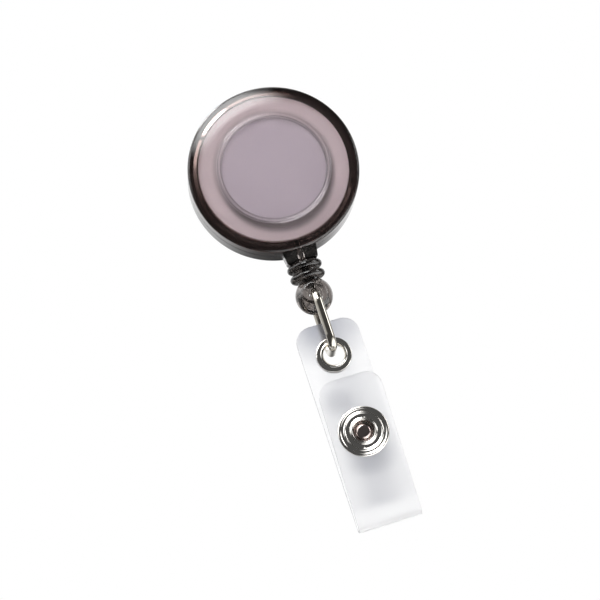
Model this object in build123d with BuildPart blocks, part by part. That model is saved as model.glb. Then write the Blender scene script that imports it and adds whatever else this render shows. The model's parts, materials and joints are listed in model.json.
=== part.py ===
from build123d import *
import math
import os

# Retractable badge reel, hanging from its clip, in millimetres.
# +Z is up, the front faces -Y, and the cord pulls out along -Z. The origin is on the swivel
# axis of the clip, where that axis meets the case's flat rear face.
# "Depth" is the distance in front of the rear face, so it is minus Y.

# Case
CASE_R = 16.0
WALL = 1.2
REAR_FLOOR = 1.2
PARTING_DEPTH = 4.0
RIM_DEPTH = 6.55
RIM_EDGE = 0.42
RIM_RISE = 0.62
DOME_SLOPE = 0.28
DOME_END_DEPTH = 7.85
FACE_INNER_DEPTH = 6.5
RECESS_DEPTH = 8.0
RING_TOP_DEPTH = 8.4
RING_OUTER_R = 10.45
RING_BLEND = 0.3
RING_ROUND = 0.24
RING_WIDTH = 0.5
RING_SAG = 0.04
PARTING_BEVEL = 0.12
RECESS_R = 9.85
REAR_PAD_R = 4.5
REAR_DISH_R = 13.2
REAR_DISH = 0.25
LIP = 0.55
LIP_HEIGHT = 0.6
REAR_EDGE = 0.6
FIT = 0.05
PRESS_GAP = 0.02

# Nose block that guides the cord out
NOSE_TOP_Z = -15.45
NOSE_BOTTOM_Z = -18.1
NOSE_WIDTH = 6.6
NOSE_HALF_DEPTH = 2.9
NOSE_CORNER = 1.3
NOSE_TAPER = 0.35
NOSE_LIP = 0.35
CORD_HOLE_R = 0.8

# Spool, its arbor and its spring
ARBOR_R = 2.6
ARBOR_BORE_R = 1.95
ARBOR_TOP_DEPTH = 5.5
SPOOL_DISC_R = 13.95
SPOOL_REAR_R = 13.9
SPOOL_FRONT_DEPTH = 6.2
SPOOL_REAR_DEPTH = 1.6
FLANGE = 0.6
DRUM_R = 7.5
DRUM_WALL = 0.6
HUB_R = 3.5
HUB_DEPTH = 4.8
SLOT_HALF = 0.4
SPRING_THICK = 0.2
SPRING_R = 2.75
SPRING_STEP = 0.235
SPRING_HALF_TURNS = 16
SPRING_REAR_DEPTH = 1.8
SPRING_WIDTH = 2.9
SPRING_HOOK = 0.1

# Cord
CORD_R = 0.45
CORD_DEPTH = 4.0
WINDING_R = 10.65
WINDING_RIDGES = 3
WRAP_R = 11.15
WRAP_ANGLE = 120.0
CORD_TURN_Z = -14.0
CORD_TURN_R = 2.7
KNOT_R = 1.05
KNOT_Z = -22.1

# Bead on the end of the cord: two collar rings above a ball
COLLAR_R = 3.35
COLLAR_THICK = 1.4
COLLAR_Z = (-19.0, -20.9)
NECK_R = 2.2
BALL_R = 3.5
BALL_Z = -24.8
BEAD_BORE_R = 0.7
KNOT_SEAT_Z = -20.9
KNOT_SEAT_R = 1.35
CROSS_BORE_R = 1.05
CROSS_MOUTH = 0.8

# Wire link between the bead and the strap
LINK_WIRE_R = 0.8
LINK_HALF_DEPTH = 4.3
LINK_BEND_R = 2.1
LINK_BOTTOM_Z = -35.5
LINK_SEAM = 0.15

# Vinyl strap
STRAP_WIDTH = 12.0
STRAP_THICK = 0.5
STRAP_CORNER = 3.0
STRAP_TOP_Z = -30.15
FLAP_TOP_Z = -41.7
FLAP_SHIFT = 0.66
FOLD_Z = -68.2
FOLD_INNER_R = 1.0
BACK_DEPTH = CORD_DEPTH - STRAP_THICK / 2
FLAP_DEPTH = BACK_DEPTH + STRAP_THICK + 2 * FOLD_INNER_R

# Eyelet in the strap
EYELET_Z = -36.5
EYELET_BORE_R = 2.0
EYELET_WALL = 0.28
EYELET_FLANGE_R = 3.35
EYELET_ROLL_R = 0.26
EYELET_ROLL = 0.62
EYELET_VALLEY = 0.33
EYELET_CROWN_R = 3.12
EYELET_CROWN = 0.35
EYELET_EDGE = 0.13
EYELET_CURL = 0.5
EYELET_CURL_THICK = 0.25
WASHER_THICK = 0.4

# Press snap that closes the strap
SNAP_X = 0.4
SNAP_Z = -52.3
SNAP_R = 4.75
SNAP_BORE_R = 1.95
SNAP_BARREL_R = 2.4
SNAP_SEAT_R = 4.3
SNAP_RIM = 0.62
SNAP_VALLEY_R = 3.5
SNAP_VALLEY = 0.34
SNAP_STEP_R = 3.12
SNAP_STEP = 0.8
SNAP_GROOVE_R = 2.7
SNAP_GROOVE = 0.64
SNAP_CROWN = 1.0
SNAP_INSIDE = 0.35
SNAP_RING_R = 3.8
SNAP_RING = 0.45
SNAP_WIRE_R = 0.16
SNAP_WIRE_GAP = 20.0
STUD_FLANGE_R = 3.6
STUD_HEAD_R = 1.6
STUD_CROWN_R = 1.05
STUD_CROWN = 0.02
STUD_NECK_R = 1.15
STUD_TOP_DEPTH = 7.5
STUD_FLANGE = 0.4
STUD_FILLET = 0.25
STUD_HEAD = 0.6
POST_R = 4.0
POST_SHANK_R = 0.8
POST_DOME = 0.85
POST_EDGE = 0.15

# Clip behind the case, in Y
CLIP_STEEL = 0.8
CLIP_CORNER = 3.0
CLIP_GAP = 0.45
CLIP_HALF_WIDTH = 4.9
CLIP_TOP_Z = 11.5
CLIP_JAW_Z = -12.4
EAR_R = 1.5
PIN_Y = 4.2
PIN_Z = 3.6
PIN_R = 0.8
PIN_HEAD_R = 1.35
PIN_HEAD = 0.5
LEVER_Y = 6.1
LEVER_CLEAR = 0.1
LEVER_EAR_R = 1.7
JAW_HEIGHT = 1.4
JAW_LEAN = 0.3
JAW_TO_WEB = 4.2
WEB_TO_TAB = 3.2
THUMB_Y = 9.4
THUMB_Z = 13.2
TEETH = 6
TOOTH_SIDE = 1.25
CLIP_SPRING_THICK = 0.4
LEAF_BEND_R = 1.9
LEAF_HALF_WIDTH = 2.6
LEAF_TIP_BACK = 1.1
RIVET_R = 1.2
RIVET_HEAD_R = 1.8
RIVET_CLIP_HEAD_R = 2.3
RIVET_HEAD = 0.8
RIVET_INNER_HEAD = 0.6
WASHER_R = 3.6

base_y = CLIP_GAP + CLIP_STEEL

os.makedirs("parts", exist_ok=True)

# A plane for turned profiles about the Y axis: local x is the radius, local y the depth.
turning = Plane(origin=(0, 0, 0), x_dir=(1, 0, 0), z_dir=(0, 0, -1))


def turning_at(x, z):
    """The turning plane moved to an axis at x, z."""
    return Plane(origin=(x, 0, z), x_dir=(1, 0, 0), z_dir=(0, 0, -1))


def axis_at(x, z):
    """A line along Y through x, z."""
    return Axis((x, 0, z), (0, 1, 0))


def save(builder, label):
    """Labels a finished piece and writes its file."""
    builder.part.label = label
    export_step(builder.part, f"parts/{label}.step")


def nose_outline(z, side, inset):
    """Half of the nose block's section at height z: side is 1 in front of the parting plane."""
    half = NOSE_WIDTH / 2 - inset
    reach = (NOSE_HALF_DEPTH - inset) * side
    corner = NOSE_CORNER * side
    with BuildSketch(Plane.XY.offset(z)) as outline:
        with BuildLine():
            Polyline(
                (-half, -PARTING_DEPTH),
                (half, -PARTING_DEPTH),
                (half, -PARTING_DEPTH - reach + corner),
                (half - NOSE_CORNER, -PARTING_DEPTH - reach),
                (-half + NOSE_CORNER, -PARTING_DEPTH - reach),
                (-half, -PARTING_DEPTH - reach + corner),
                close=True,
            )
        make_face()
    return outline.sketch


def nose_half(side):
    """Half of the nose block, from inside the case wall to its chamfered lower end."""
    with BuildPart() as half:
        add(nose_outline(NOSE_TOP_Z, side, 0))
        add(nose_outline(NOSE_BOTTOM_Z + NOSE_LIP, side, NOSE_TAPER))
        loft()
        with BuildPart(mode=Mode.PRIVATE) as lip:
            add(nose_outline(NOSE_BOTTOM_Z + NOSE_LIP, side, NOSE_TAPER))
            add(nose_outline(NOSE_BOTTOM_Z, side, NOSE_TAPER + NOSE_LIP))
            loft()
        add(lip.part)
    return half.part


def cord_passage():
    """The hole for the cord through the wall and the nose, flared at both ends."""
    start = Plane(origin=(0, -CORD_DEPTH, 0))
    flare = CORD_HOLE_R / 2
    with BuildPart() as passage:
        with BuildSketch(start.offset(NOSE_BOTTOM_Z - 1)):
            Circle(CORD_HOLE_R)
        extrude(amount=-NOSE_BOTTOM_Z + 1 - CASE_R + WALL + 1)
        with BuildSketch(start.offset(NOSE_BOTTOM_Z)):
            Circle(CORD_HOLE_R + flare)
        extrude(amount=flare, taper=45)
    return passage.part


# Front shell: side wall, domed face, raised ring and the flat recess inside it
with BuildPart() as front_shell:
    with BuildSketch(turning):
        with BuildLine():
            inner = CASE_R - WALL
            groove = inner + LIP + FIT
            Polyline(
                (0, FACE_INNER_DEPTH),
                (inner - LIP, FACE_INNER_DEPTH),
                (inner, FACE_INNER_DEPTH - LIP),
                (inner, PARTING_DEPTH + LIP_HEIGHT + FIT),
                (groove, PARTING_DEPTH + LIP_HEIGHT + FIT),
                (groove, PARTING_DEPTH),
                (CASE_R - PARTING_BEVEL, PARTING_DEPTH),
                (CASE_R, PARTING_DEPTH + PARTING_BEVEL),
                (CASE_R, RIM_DEPTH),
            )
            rim = TangentArc(
                (CASE_R, RIM_DEPTH), (CASE_R - RIM_EDGE, RIM_DEPTH + RIM_RISE), tangent=(0, 1)
            )
            dome = TangentArc(
                rim @ 1, (RING_OUTER_R + RING_BLEND, DOME_END_DEPTH), tangent=(-1, DOME_SLOPE)
            )
            foot = SagittaArc(dome @ 1, (RING_OUTER_R, RING_TOP_DEPTH - RING_ROUND), RING_SAG)
            crown = SagittaArc(
                foot @ 1, (RING_OUTER_R - RING_WIDTH, RING_TOP_DEPTH - RING_ROUND), -RING_ROUND
            )
            Polyline(crown @ 1, (RECESS_R, RECESS_DEPTH), (0, RECESS_DEPTH), (0, FACE_INNER_DEPTH))
        make_face()
    revolve(axis=Axis.Y)
    add(nose_half(1))
    add(cord_passage(), mode=Mode.SUBTRACT)
save(front_shell, "front_shell")

# Rear shell: floor, side wall with the lip that fits the front shell, and the spring's arbor
with BuildPart() as rear_shell:
    with BuildSketch(turning):
        with BuildLine():
            Polyline(
                (RIVET_R + FIT, 0),
                (REAR_PAD_R, 0),
                (REAR_PAD_R + REAR_DISH, REAR_DISH),
                (REAR_DISH_R, REAR_DISH),
                (REAR_DISH_R + REAR_DISH, 0),
                (CASE_R - REAR_EDGE, 0),
                (CASE_R, REAR_EDGE),
                (CASE_R, PARTING_DEPTH - PARTING_BEVEL),
                (CASE_R - PARTING_BEVEL, PARTING_DEPTH),
                (inner + LIP, PARTING_DEPTH),
                (inner + LIP, PARTING_DEPTH + LIP_HEIGHT),
                (inner, PARTING_DEPTH + LIP_HEIGHT),
                (inner, REAR_FLOOR),
                (ARBOR_R, REAR_FLOOR),
                (ARBOR_R, ARBOR_TOP_DEPTH),
                (ARBOR_BORE_R, ARBOR_TOP_DEPTH),
                (ARBOR_BORE_R, REAR_FLOOR),
                (RIVET_R + FIT, REAR_FLOOR),
                close=True,
            )
        make_face()
    revolve(axis=Axis.Y)
    add(nose_half(-1))
    add(cord_passage(), mode=Mode.SUBTRACT)
    with BuildSketch(Plane.XZ.offset(SPRING_REAR_DEPTH - FIT)):
        with Locations((ARBOR_R, 0)):
            Rectangle(2 * ARBOR_BORE_R, 2 * SLOT_HALF)
    extrude(amount=ARBOR_TOP_DEPTH, mode=Mode.SUBTRACT)
save(rear_shell, "rear_shell")

# Spool: closed front disc, drum with the spring's slot, rear flange and a blind hub
with BuildPart() as spool:
    drum_inner = DRUM_R - DRUM_WALL
    disc_rear = SPOOL_FRONT_DEPTH - FLANGE
    with BuildSketch(turning):
        with BuildLine():
            Polyline(
                (0, SPOOL_FRONT_DEPTH),
                (SPOOL_DISC_R, SPOOL_FRONT_DEPTH),
                (SPOOL_DISC_R, disc_rear),
                (DRUM_R, disc_rear),
                (DRUM_R, SPOOL_REAR_DEPTH + FLANGE),
                (SPOOL_REAR_R, SPOOL_REAR_DEPTH + FLANGE),
                (SPOOL_REAR_R, SPOOL_REAR_DEPTH),
                (drum_inner, SPOOL_REAR_DEPTH),
                (drum_inner, disc_rear),
                (HUB_R, disc_rear),
                (HUB_R, HUB_DEPTH),
                (ARBOR_R + FIT, HUB_DEPTH),
                (ARBOR_R + FIT, disc_rear),
                (0, disc_rear),
                close=True,
            )
        make_face()
    revolve(axis=Axis.Y)
    with BuildSketch(Plane.XZ.offset(SPOOL_REAR_DEPTH)):
        with Locations((DRUM_R - DRUM_WALL / 2, 0)):
            Rectangle(2 * DRUM_WALL, 2 * SLOT_HALF)
    extrude(amount=disc_rear - SPOOL_REAR_DEPTH, mode=Mode.SUBTRACT)
save(spool, "spool")


def spiral(extra):
    """Half circles of growing radius, end to end, as (centre x, radius) from the inside out."""
    return [
        (SPRING_STEP * (k % 2), SPRING_R + SPRING_STEP * k + extra)
        for k in range(SPRING_HALF_TURNS)
    ]


# Power spring: flat strip wound from the arbor's slot to the drum's slot
with BuildPart() as power_spring:
    with BuildSketch(Plane.XZ.offset(SPRING_REAR_DEPTH)):
        with BuildLine():
            for k, (x, r) in enumerate(spiral(0)):
                CenterArc((x, 0), r, 180 * (k % 2), 180)
            for k, (x, r) in enumerate(spiral(SPRING_THICK)):
                CenterArc((x, 0), r, 180 * (k % 2), 180)
            last_x, last_r = spiral(0)[-1]
            strip_end = last_x + last_r
            hook_in = ARBOR_BORE_R + SPRING_HOOK
            hook_out = DRUM_R - 2 * SPRING_HOOK
            Polyline(
                (SPRING_R, 0),
                (hook_in, 0),
                (hook_in, -SPRING_THICK),
                (SPRING_R + SPRING_THICK, -SPRING_THICK),
                (SPRING_R + SPRING_THICK, 0),
            )
            Polyline(
                (strip_end + SPRING_THICK, 0),
                (hook_out, 0),
                (hook_out, SPRING_THICK),
                (strip_end, SPRING_THICK),
                (strip_end, 0),
            )
        make_face()
    extrude(amount=SPRING_WIDTH)
save(power_spring, "power_spring")

# Cord wound on the drum, its outer layer showing as ridges
with BuildPart() as cord_winding:
    width = disc_rear - SPOOL_REAR_DEPTH - FLANGE
    pitch = width / WINDING_RIDGES
    with BuildSketch(turning):
        with Locations(((DRUM_R + WINDING_R - CORD_R) / 2, SPOOL_REAR_DEPTH + FLANGE + width / 2)):
            Rectangle(WINDING_R - CORD_R - DRUM_R, width - 2 * FIT)
        for k in range(WINDING_RIDGES):
            with Locations((WINDING_R - CORD_R, SPOOL_REAR_DEPTH + FLANGE + pitch * (k + 0.5))):
                Circle(CORD_R)
    revolve(axis=Axis.Y)
save(cord_winding, "cord_winding")

# Cord from its last wrap round the spool, out through the nose, to the knot in the bead
with BuildPart() as cord_lead:
    leave = math.degrees(math.acos(WRAP_R / -CORD_TURN_Z)) - 90
    with BuildLine(Plane.XZ.offset(CORD_DEPTH)) as route:
        wrap = CenterArc((0, 0), WRAP_R, leave + WRAP_ANGLE, -WRAP_ANGLE)
        FilletPolyline(wrap @ 1, (0, CORD_TURN_Z), (0, KNOT_Z + KNOT_R / 2), radius=CORD_TURN_R)
    with BuildSketch(Plane(origin=route.wire() @ 0, z_dir=route.wire() % 0)):
        Circle(CORD_R)
    sweep(path=route.wire())
save(cord_lead, "cord_lead")

# Knot that holds the cord inside the bead
with BuildPart() as cord_knot:
    with BuildSketch(Plane.XZ.offset(CORD_DEPTH)):
        with Locations((0, KNOT_Z)):
            Circle(KNOT_R)
            Rectangle(2 * KNOT_R, 2 * KNOT_R, align=(Align.MAX, Align.CENTER), mode=Mode.SUBTRACT)
    revolve(axis=Axis((0, -CORD_DEPTH, 0), (0, 0, 1)))
save(cord_knot, "cord_knot")

# Bead: collars, neck and ball in one moulding, bored for the cord and cross-bored for the link
with BuildPart() as cord_end_bead:
    bead_top = COLLAR_Z[0] + COLLAR_THICK / 2
    bead_low = BALL_Z - BALL_R
    collar_mid = COLLAR_R - COLLAR_THICK / 2
    with BuildSketch(Plane.XZ.offset(CORD_DEPTH)):
        with Locations((0, BALL_Z)):
            Circle(BALL_R)
        for z in COLLAR_Z:
            with Locations((collar_mid, z)):
                Circle(COLLAR_THICK / 2)
            with Locations((0, z)):
                Rectangle(2 * collar_mid, COLLAR_THICK)
        with Locations((0, COLLAR_Z[0])):
            Rectangle(2 * NECK_R, COLLAR_Z[0] - BALL_Z, align=(Align.CENTER, Align.MAX))
        with Locations((0, (bead_top + bead_low) / 2)):
            Rectangle(
                2 * BALL_R,
                bead_top - bead_low + 1,
                align=(Align.MAX, Align.CENTER),
                mode=Mode.SUBTRACT,
            )
    revolve(axis=Axis((0, -CORD_DEPTH, 0), (0, 0, 1)))
    with BuildSketch(Plane(origin=(0, -CORD_DEPTH, bead_top))):
        Circle(BEAD_BORE_R)
    extrude(amount=KNOT_SEAT_Z - bead_top, mode=Mode.SUBTRACT)
    with BuildSketch(Plane(origin=(0, -CORD_DEPTH, KNOT_SEAT_Z))):
        Circle(KNOT_SEAT_R)
    extrude(amount=BALL_Z - KNOT_SEAT_Z, mode=Mode.SUBTRACT)
    with BuildSketch(Plane.XZ.offset(CORD_DEPTH)):
        with Locations((0, BALL_Z)):
            Circle(CROSS_BORE_R)
    extrude(amount=BALL_R, both=True, mode=Mode.SUBTRACT)
    mouths = cord_end_bead.edges().sort_by(Axis.Y)
    fillet([mouths[0], mouths[-1]], CROSS_MOUTH)
save(cord_end_bead, "cord_end_bead")

# Link: round wire bent to a long loop, its ends butted in the rear leg
with BuildPart() as link_wire:
    front_y = -CORD_DEPTH - LINK_HALF_DEPTH
    rear_y = -CORD_DEPTH + LINK_HALF_DEPTH
    seam_z = (BALL_Z + LINK_BOTTOM_Z) / 2
    with BuildLine(Plane.YZ) as loop:
        FilletPolyline(
            (rear_y, seam_z + LINK_SEAM / 2),
            (rear_y, BALL_Z),
            (front_y, BALL_Z),
            (front_y, LINK_BOTTOM_Z),
            (rear_y, LINK_BOTTOM_Z),
            (rear_y, seam_z - LINK_SEAM / 2),
            radius=LINK_BEND_R,
        )
    with BuildSketch(Plane(origin=loop.wire() @ 0, z_dir=loop.wire() % 0)):
        Circle(LINK_WIRE_R)
    sweep(path=loop.wire())
save(link_wire, "link_wire")

# Strap, back layer: rounded top, eyelet hole and the hole for the snap's post
with BuildPart() as strap_back:
    with BuildSketch(Plane.XZ.offset(BACK_DEPTH)) as back_outline:
        with Locations((0, STRAP_TOP_Z)):
            Rectangle(STRAP_WIDTH, STRAP_TOP_Z - FOLD_Z, align=(Align.CENTER, Align.MAX))
        fillet(back_outline.vertices().group_by(Axis.Y)[-1], STRAP_CORNER)
        with Locations((0, EYELET_Z)):
            Circle(EYELET_BORE_R + EYELET_WALL + FIT, mode=Mode.SUBTRACT)
        with Locations((SNAP_X, SNAP_Z)):
            Circle(POST_SHANK_R + FIT, mode=Mode.SUBTRACT)
    extrude(amount=STRAP_THICK)
save(strap_back, "strap_back")

# Strap, fold: the half round at the bottom where a badge hangs
with BuildPart() as strap_fold:
    fold_depth = (BACK_DEPTH + FLAP_DEPTH + STRAP_THICK) / 2
    with BuildSketch(Plane.YZ):
        with Locations((-fold_depth, FOLD_Z)):
            Circle(FOLD_INNER_R + STRAP_THICK)
            Circle(FOLD_INNER_R, mode=Mode.SUBTRACT)
            Rectangle(
                4 * FOLD_INNER_R,
                4 * FOLD_INNER_R,
                align=(Align.CENTER, Align.MIN),
                mode=Mode.SUBTRACT,
            )
    extrude(amount=STRAP_WIDTH / 2, both=True)
save(strap_fold, "strap_fold")

# Strap, flap: the front layer, folded slightly askew
with BuildPart() as strap_flap:
    half = STRAP_WIDTH / 2
    drop = half * FLAP_SHIFT / (FLAP_TOP_Z - FOLD_Z)
    with BuildSketch(Plane.XZ.offset(FLAP_DEPTH)) as flap_outline:
        with BuildLine():
            Polyline(
                (-half, FOLD_Z),
                (half, FOLD_Z),
                (half + FLAP_SHIFT, FLAP_TOP_Z - drop),
                (-half + FLAP_SHIFT, FLAP_TOP_Z + drop),
                close=True,
            )
        make_face()
        fillet(flap_outline.vertices().sort_by(Axis.Y)[-2:], STRAP_CORNER)
        with Locations((SNAP_X, SNAP_Z)):
            Circle(SNAP_BARREL_R + FIT, mode=Mode.SUBTRACT)
    extrude(amount=STRAP_THICK)
save(strap_flap, "strap_flap")

# Eyelet: rolled front flange, barrel through the strap and a curled rear edge
with BuildPart() as eyelet:
    strap_front = BACK_DEPTH + STRAP_THICK
    barrel_r = EYELET_BORE_R + EYELET_WALL
    roll_r = EYELET_BORE_R + EYELET_ROLL_R
    curl = BACK_DEPTH - WASHER_THICK
    with BuildSketch(turning_at(0, EYELET_Z)):
        with BuildLine():
            bore = Line((EYELET_BORE_R, curl), (EYELET_BORE_R, strap_front + EYELET_ROLL / 2))
            roll = ThreePointArc(
                bore @ 1,
                (roll_r, strap_front + EYELET_ROLL),
                (roll_r + EYELET_ROLL_R, strap_front + EYELET_VALLEY),
            )
            crown = Line(roll @ 1, (EYELET_CROWN_R, strap_front + EYELET_CROWN))
            edge = TangentArc(
                crown @ 1,
                (EYELET_FLANGE_R, strap_front + EYELET_EDGE),
                tangent=crown % 1,
            )
            Polyline(
                edge @ 1,
                (EYELET_FLANGE_R, strap_front),
                (barrel_r, strap_front),
                (barrel_r, curl),
                (barrel_r + EYELET_CURL, curl),
                (barrel_r + EYELET_CURL, curl - EYELET_CURL_THICK / 2),
                (barrel_r, curl - EYELET_CURL_THICK),
                (EYELET_BORE_R, curl),
            )
        make_face()
    revolve(axis=axis_at(0, EYELET_Z))
save(eyelet, "eyelet")

# Washer between the strap and the eyelet's curled edge
with BuildPart() as eyelet_washer:
    with BuildSketch(Plane.XZ.offset(curl)):
        with Locations((0, EYELET_Z)):
            Circle(EYELET_FLANGE_R)
            Circle(barrel_r + FIT, mode=Mode.SUBTRACT)
    extrude(amount=WASHER_THICK)
    fillet(eyelet_washer.edges().group_by(Axis.Y)[-1].sort_by(Edge.length)[-1], EYELET_EDGE)
save(eyelet_washer, "eyelet_washer")

# Snap socket: pressed ring on the front of the flap, its barrel through the flap
with BuildPart() as snap_socket:
    face = FLAP_DEPTH + STRAP_THICK
    with BuildSketch(turning_at(SNAP_X, SNAP_Z)):
        with BuildLine():
            seat = Line((SNAP_SEAT_R, face), (SNAP_R - SNAP_RIM / 3, face))
            rim = ThreePointArc(
                seat @ 1,
                (SNAP_R, face + SNAP_RIM / 2),
                (SNAP_R - SNAP_RIM * 2 / 3, face + SNAP_RIM),
            )
            valley = TangentArc((SNAP_VALLEY_R, face + SNAP_VALLEY), rim @ 1, tangent=(1, 0.1))
            rise = Line(valley @ 0, (SNAP_VALLEY_R - FIT, face + SNAP_STEP - 2 * FIT))
            ledge = SagittaArc(rise @ 1, (SNAP_STEP_R, face + SNAP_STEP), -0.1)
            groove = ThreePointArc(
                ledge @ 1,
                ((SNAP_STEP_R + SNAP_GROOVE_R) / 2, face + SNAP_GROOVE),
                (SNAP_GROOVE_R, face + SNAP_GROOVE + FIT),
            )
            crown = ThreePointArc(
                groove @ 1,
                (SNAP_BARREL_R, face + SNAP_CROWN),
                (SNAP_BORE_R + 3 * FIT, face + SNAP_STEP + FIT),
            )
            lip = Line(crown @ 1, (SNAP_BORE_R, face + SNAP_STEP / 2))
            Polyline(
                lip @ 1,
                (SNAP_BORE_R, FLAP_DEPTH - SNAP_INSIDE),
                (SNAP_BARREL_R, FLAP_DEPTH - SNAP_INSIDE),
                (SNAP_BARREL_R, face),
                (SNAP_SEAT_R, face),
            )
        make_face()
    revolve(axis=axis_at(SNAP_X, SNAP_Z))
save(snap_socket, "snap_socket")

# Ring behind the flap that the socket's barrel is pressed into
with BuildPart() as snap_socket_back:
    with BuildSketch(Plane.XZ.offset(FLAP_DEPTH - SNAP_RING)):
        with Locations((SNAP_X, SNAP_Z)):
            Circle(SNAP_RING_R)
            Circle(SNAP_BARREL_R + FIT / 2, mode=Mode.SUBTRACT)
    extrude(amount=SNAP_RING)
    fillet(snap_socket_back.edges().group_by(Axis.Y)[-1].sort_by(Edge.length)[-1], SNAP_RING / 2)
save(snap_socket_back, "snap_socket_back")

# Split wire ring inside the socket that grips the stud
with BuildPart() as snap_spring:
    ring_r = SNAP_BORE_R - SNAP_WIRE_R - FIT / 2
    with BuildLine(Plane.XZ.offset(FLAP_DEPTH + STRAP_THICK / 2)) as ring:
        CenterArc((SNAP_X, SNAP_Z), ring_r, 90 + SNAP_WIRE_GAP / 2, 360 - SNAP_WIRE_GAP)
    with BuildSketch(Plane(origin=ring.wire() @ 0, z_dir=ring.wire() % 0)):
        Circle(SNAP_WIRE_R)
    sweep(path=ring.wire())
save(snap_spring, "snap_spring")

# Snap stud: flange on the back layer and a domed head that stands up through the socket
with BuildPart() as snap_stud:
    bore_top = strap_front + 2 * STUD_FLANGE
    with BuildSketch(turning_at(SNAP_X, SNAP_Z)):
        with BuildLine():
            flange = Polyline(
                (0, bore_top),
                (POST_SHANK_R, bore_top),
                (POST_SHANK_R, strap_front),
                (STUD_FLANGE_R, strap_front),
                (STUD_FLANGE_R, strap_front + STUD_FLANGE / 2),
                (STUD_FLANGE_R - STUD_FLANGE / 2, strap_front + STUD_FLANGE),
                (STUD_NECK_R + 2 * STUD_FILLET, strap_front + STUD_FLANGE),
            )
            root = SagittaArc(flange @ 1, (STUD_NECK_R, bore_top), STUD_FILLET / 2)
            stem = Line(root @ 1, (STUD_NECK_R, STUD_TOP_DEPTH - STUD_HEAD - STUD_FLANGE))
            bulge = ThreePointArc(
                stem @ 1,
                (STUD_HEAD_R, STUD_TOP_DEPTH - STUD_HEAD),
                (STUD_HEAD_R - STUD_FLANGE / 2, STUD_TOP_DEPTH - STUD_FILLET),
            )
            crown_edge = (STUD_CROWN_R, STUD_TOP_DEPTH - STUD_CROWN)
            TangentArc((0, STUD_TOP_DEPTH), crown_edge, tangent=(1, 0))
            Line(crown_edge, bulge @ 1)
            Line((0, STUD_TOP_DEPTH), (0, bore_top))
        make_face()
    revolve(axis=axis_at(SNAP_X, SNAP_Z))
save(snap_stud, "snap_stud")

# Post: domed disc behind the strap, its shank pressed into the stud
with BuildPart() as snap_post:
    shank_r = POST_SHANK_R - PRESS_GAP
    dome_top = BACK_DEPTH - POST_DOME
    with BuildSketch(turning_at(SNAP_X, SNAP_Z)):
        with BuildLine():
            shank = Polyline(
                (0, bore_top - 2 * FIT),
                (shank_r, bore_top - 2 * FIT),
                (shank_r, BACK_DEPTH),
                (POST_R, BACK_DEPTH),
                (POST_R, BACK_DEPTH - POST_EDGE),
            )
            shoulder = SagittaArc(shank @ 1, (POST_R - 2 * POST_EDGE, dome_top + POST_DOME / 2), -FIT)
            TangentArc((0, dome_top), shoulder @ 1, tangent=(1, 0))
            Line((0, dome_top), (0, bore_top - 2 * FIT))
        make_face()
    revolve(axis=axis_at(SNAP_X, SNAP_Z))
save(snap_post, "snap_post")


def ears(inner_x, thick, low_y, radius):
    """Two ears with a round end about the pin, one at each side, without their holes."""
    with BuildPart() as pair:
        for side in (-1, 1):
            with BuildSketch(Plane.YZ.offset(side * inner_x)):
                with Locations((PIN_Y, PIN_Z)):
                    Circle(radius)
                    Rectangle(PIN_Y - low_y, 2 * radius, align=(Align.MAX, Align.CENTER))
            extrude(amount=side * thick)
    return pair.part


def teeth(half_width):
    """Pointed notches to cut from a jaw's lower edge, which leave its teeth."""
    pitch = 2 * half_width / TEETH
    with BuildPart() as cuts:
        with BuildSketch(Plane.XZ.offset(-base_y)):
            for k in range(TEETH + 1):
                with Locations((pitch * k - half_width, CLIP_JAW_Z)):
                    Triangle(a=pitch, b=TOOTH_SIDE, c=TOOTH_SIDE, align=(Align.CENTER, Align.MIN))
        extrude(amount=2 * CLIP_STEEL, both=True)
    return cuts.part


# Clip base: pressed plate behind the case with two ears for the pin
with BuildPart() as clip_base:
    with BuildSketch(Plane.XZ.offset(-base_y)) as base_outline:
        with Locations((0, CLIP_TOP_Z)):
            Rectangle(2 * CLIP_HALF_WIDTH, CLIP_TOP_Z - CLIP_JAW_Z, align=(Align.CENTER, Align.MAX))
        fillet(base_outline.vertices().group_by(Axis.Y)[-1], CLIP_CORNER)
        Circle(RIVET_R + FIT / 2, mode=Mode.SUBTRACT)
    extrude(amount=CLIP_STEEL)
    add(ears(CLIP_HALF_WIDTH - CLIP_STEEL, CLIP_STEEL, base_y - CLIP_STEEL / 2, EAR_R))
    with BuildSketch(Plane.YZ):
        with Locations((PIN_Y, PIN_Z)):
            Circle(PIN_R + PRESS_GAP)
    extrude(amount=2 * CLIP_HALF_WIDTH, both=True, mode=Mode.SUBTRACT)
    add(teeth(CLIP_HALF_WIDTH), mode=Mode.SUBTRACT)
save(clip_base, "clip_base")

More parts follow.
